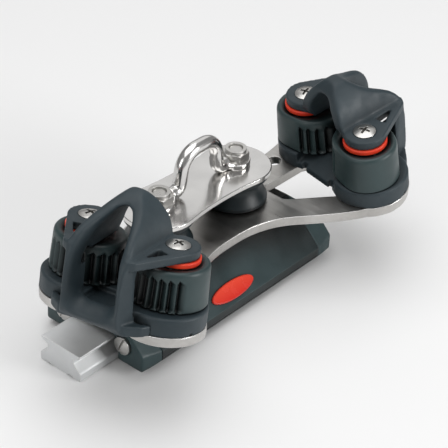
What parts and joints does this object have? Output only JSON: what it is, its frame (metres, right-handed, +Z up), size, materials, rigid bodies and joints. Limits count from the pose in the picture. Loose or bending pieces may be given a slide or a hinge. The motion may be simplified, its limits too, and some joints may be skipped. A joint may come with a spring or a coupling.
{
  "type": "cam cleat traveller car",
  "caption": "Ball-bearing traveller car on T-track with swept arms, each carrying a sprung cam cleat with hooded fairlead, plus upright sheaves and a becket loop.",
  "frame": {"origin": "middle of the T-track's underside, under the middle of the car at rest", "axes": "+X along the track to starboard, +Y forward (away from the cleats), +Z up from the deck"},
  "size_m": [0.191, 0.085, 0.0856],
  "materials": {
    "track_alloy": "silver anodised",
    "anodised_black": "black anodised, satin",
    "cap_plastic": "moulded, fine texture",
    "fastener_steel": "stainless, bright",
    "ball_acetal": "smooth",
    "badge_red": "domed gloss",
    "stainless_brushed": "fine brushed",
    "stainless_polished": "electropolished",
    "nylon": "moulded",
    "bush_steel": "ground",
    "sheave_plastic": "moulded, glossy",
    "spring_steel": "drawn wire",
    "red_acetal": "moulded",
    "cam_plastic": "fibre filled, satin",
    "cleat_plastic": "fibre filled, matt"
  },
  "bodies": {
    "track": {"track": "track_alloy"},
    "car": {"arms_plate": "stainless_brushed", "axle_bolt_port": "fastener_steel", "axle_bolt_starboard": "fastener_steel", "axle_nuts": "fastener_steel", "badge": "badge_red", "becket_loop": "stainless_polished", "cam_balls_port": "ball_acetal", "cam_balls_starboard": "ball_acetal", "cam_bushes_port": "bush_steel", "cam_bushes_starboard": "bush_steel", "cam_rings_port": "red_acetal", "cam_rings_starboard": "red_acetal", "cam_spring_port_aft": "spring_steel", "cam_spring_port_fore": "spring_steel", "cam_spring_starboard_aft": "spring_steel", "cam_spring_starboard_fore": "spring_steel", "car_balls_aft": "ball_acetal", "car_balls_fore": "ball_acetal", "car_body": "anodised_black", "cleat_base_port": "cleat_plastic", "cleat_base_starboard": "cleat_plastic", "cleat_screws_port": "fastener_steel", "cleat_screws_starboard": "fastener_steel", "end_cap_port": "cap_plastic", "end_cap_screws": "fastener_steel", "end_cap_starboard": "cap_plastic", "fairlead_port": "cleat_plastic", "fairlead_starboard": "cleat_plastic", "lock_nuts_port": "fastener_steel", "lock_nuts_starboard": "fastener_steel", "nut_rings": "nylon", "plate_spacer_port": "anodised_black", "plate_spacer_starboard": "anodised_black", "sheave_balls_port": "ball_acetal", "sheave_balls_starboard": "ball_acetal", "sheave_race_port": "bush_steel", "sheave_race_starboard": "bush_steel", "top_plate": "stainless_polished"},
    "sheave_port": {"sheave_port": "sheave_plastic"},
    "sheave_starboard": {"sheave_starboard": "sheave_plastic"},
    "cam_port_aft": {"cam_port_aft": "cam_plastic"},
    "cam_port_fore": {"cam_port_fore": "cam_plastic"},
    "cam_starboard_aft": {"cam_starboard_aft": "cam_plastic"},
    "cam_starboard_fore": {"cam_starboard_fore": "cam_plastic"}
  },
  "joints": [
    {"name": "car_travel", "type": "slide", "parent": "track", "child": "car", "axis": [1, 0, 0], "range_m": [-0.018, 0]},
    {"name": "sheave_port_spin", "type": "hinge", "parent": "car", "child": "sheave_port", "pos_m": [-0.0235, 0, 0.04165], "axis": [0, 0, 1], "continuous": true},
    {"name": "sheave_starboard_spin", "type": "hinge", "parent": "car", "child": "sheave_starboard", "pos_m": [0.0235, 0, 0.04165], "axis": [0, 0, 1], "continuous": true},
    {"name": "cam_starboard_fore_turn", "type": "hinge", "parent": "car", "child": "cam_starboard_fore", "pos_m": [0.06792, -0.00351, 0.05539], "axis": [-0.1796, 0.0391, 0.983], "range_deg": [0, 60], "stiffness_Nm_per_rad": 0.05, "springref_deg": -20.05},
    {"name": "cam_starboard_aft_turn", "type": "hinge", "parent": "car", "child": "cam_starboard_aft", "pos_m": [0.05984, -0.04064, 0.05539], "axis": [0.1796, -0.0391, -0.983], "range_deg": [0, 60], "stiffness_Nm_per_rad": 0.05, "springref_deg": -20.05},
    {"name": "cam_port_fore_turn", "type": "hinge", "parent": "car", "child": "cam_port_fore", "pos_m": [-0.06792, -0.00351, 0.05539], "axis": [-0.1796, -0.0391, -0.983], "range_deg": [0, 60], "stiffness_Nm_per_rad": 0.05, "springref_deg": -20.05},
    {"name": "cam_port_aft_turn", "type": "hinge", "parent": "car", "child": "cam_port_aft", "pos_m": [-0.05984, -0.04064, 0.05539], "axis": [0.1796, 0.0391, 0.983], "range_deg": [0, 60], "stiffness_Nm_per_rad": 0.05, "springref_deg": -20.05}
  ]
}
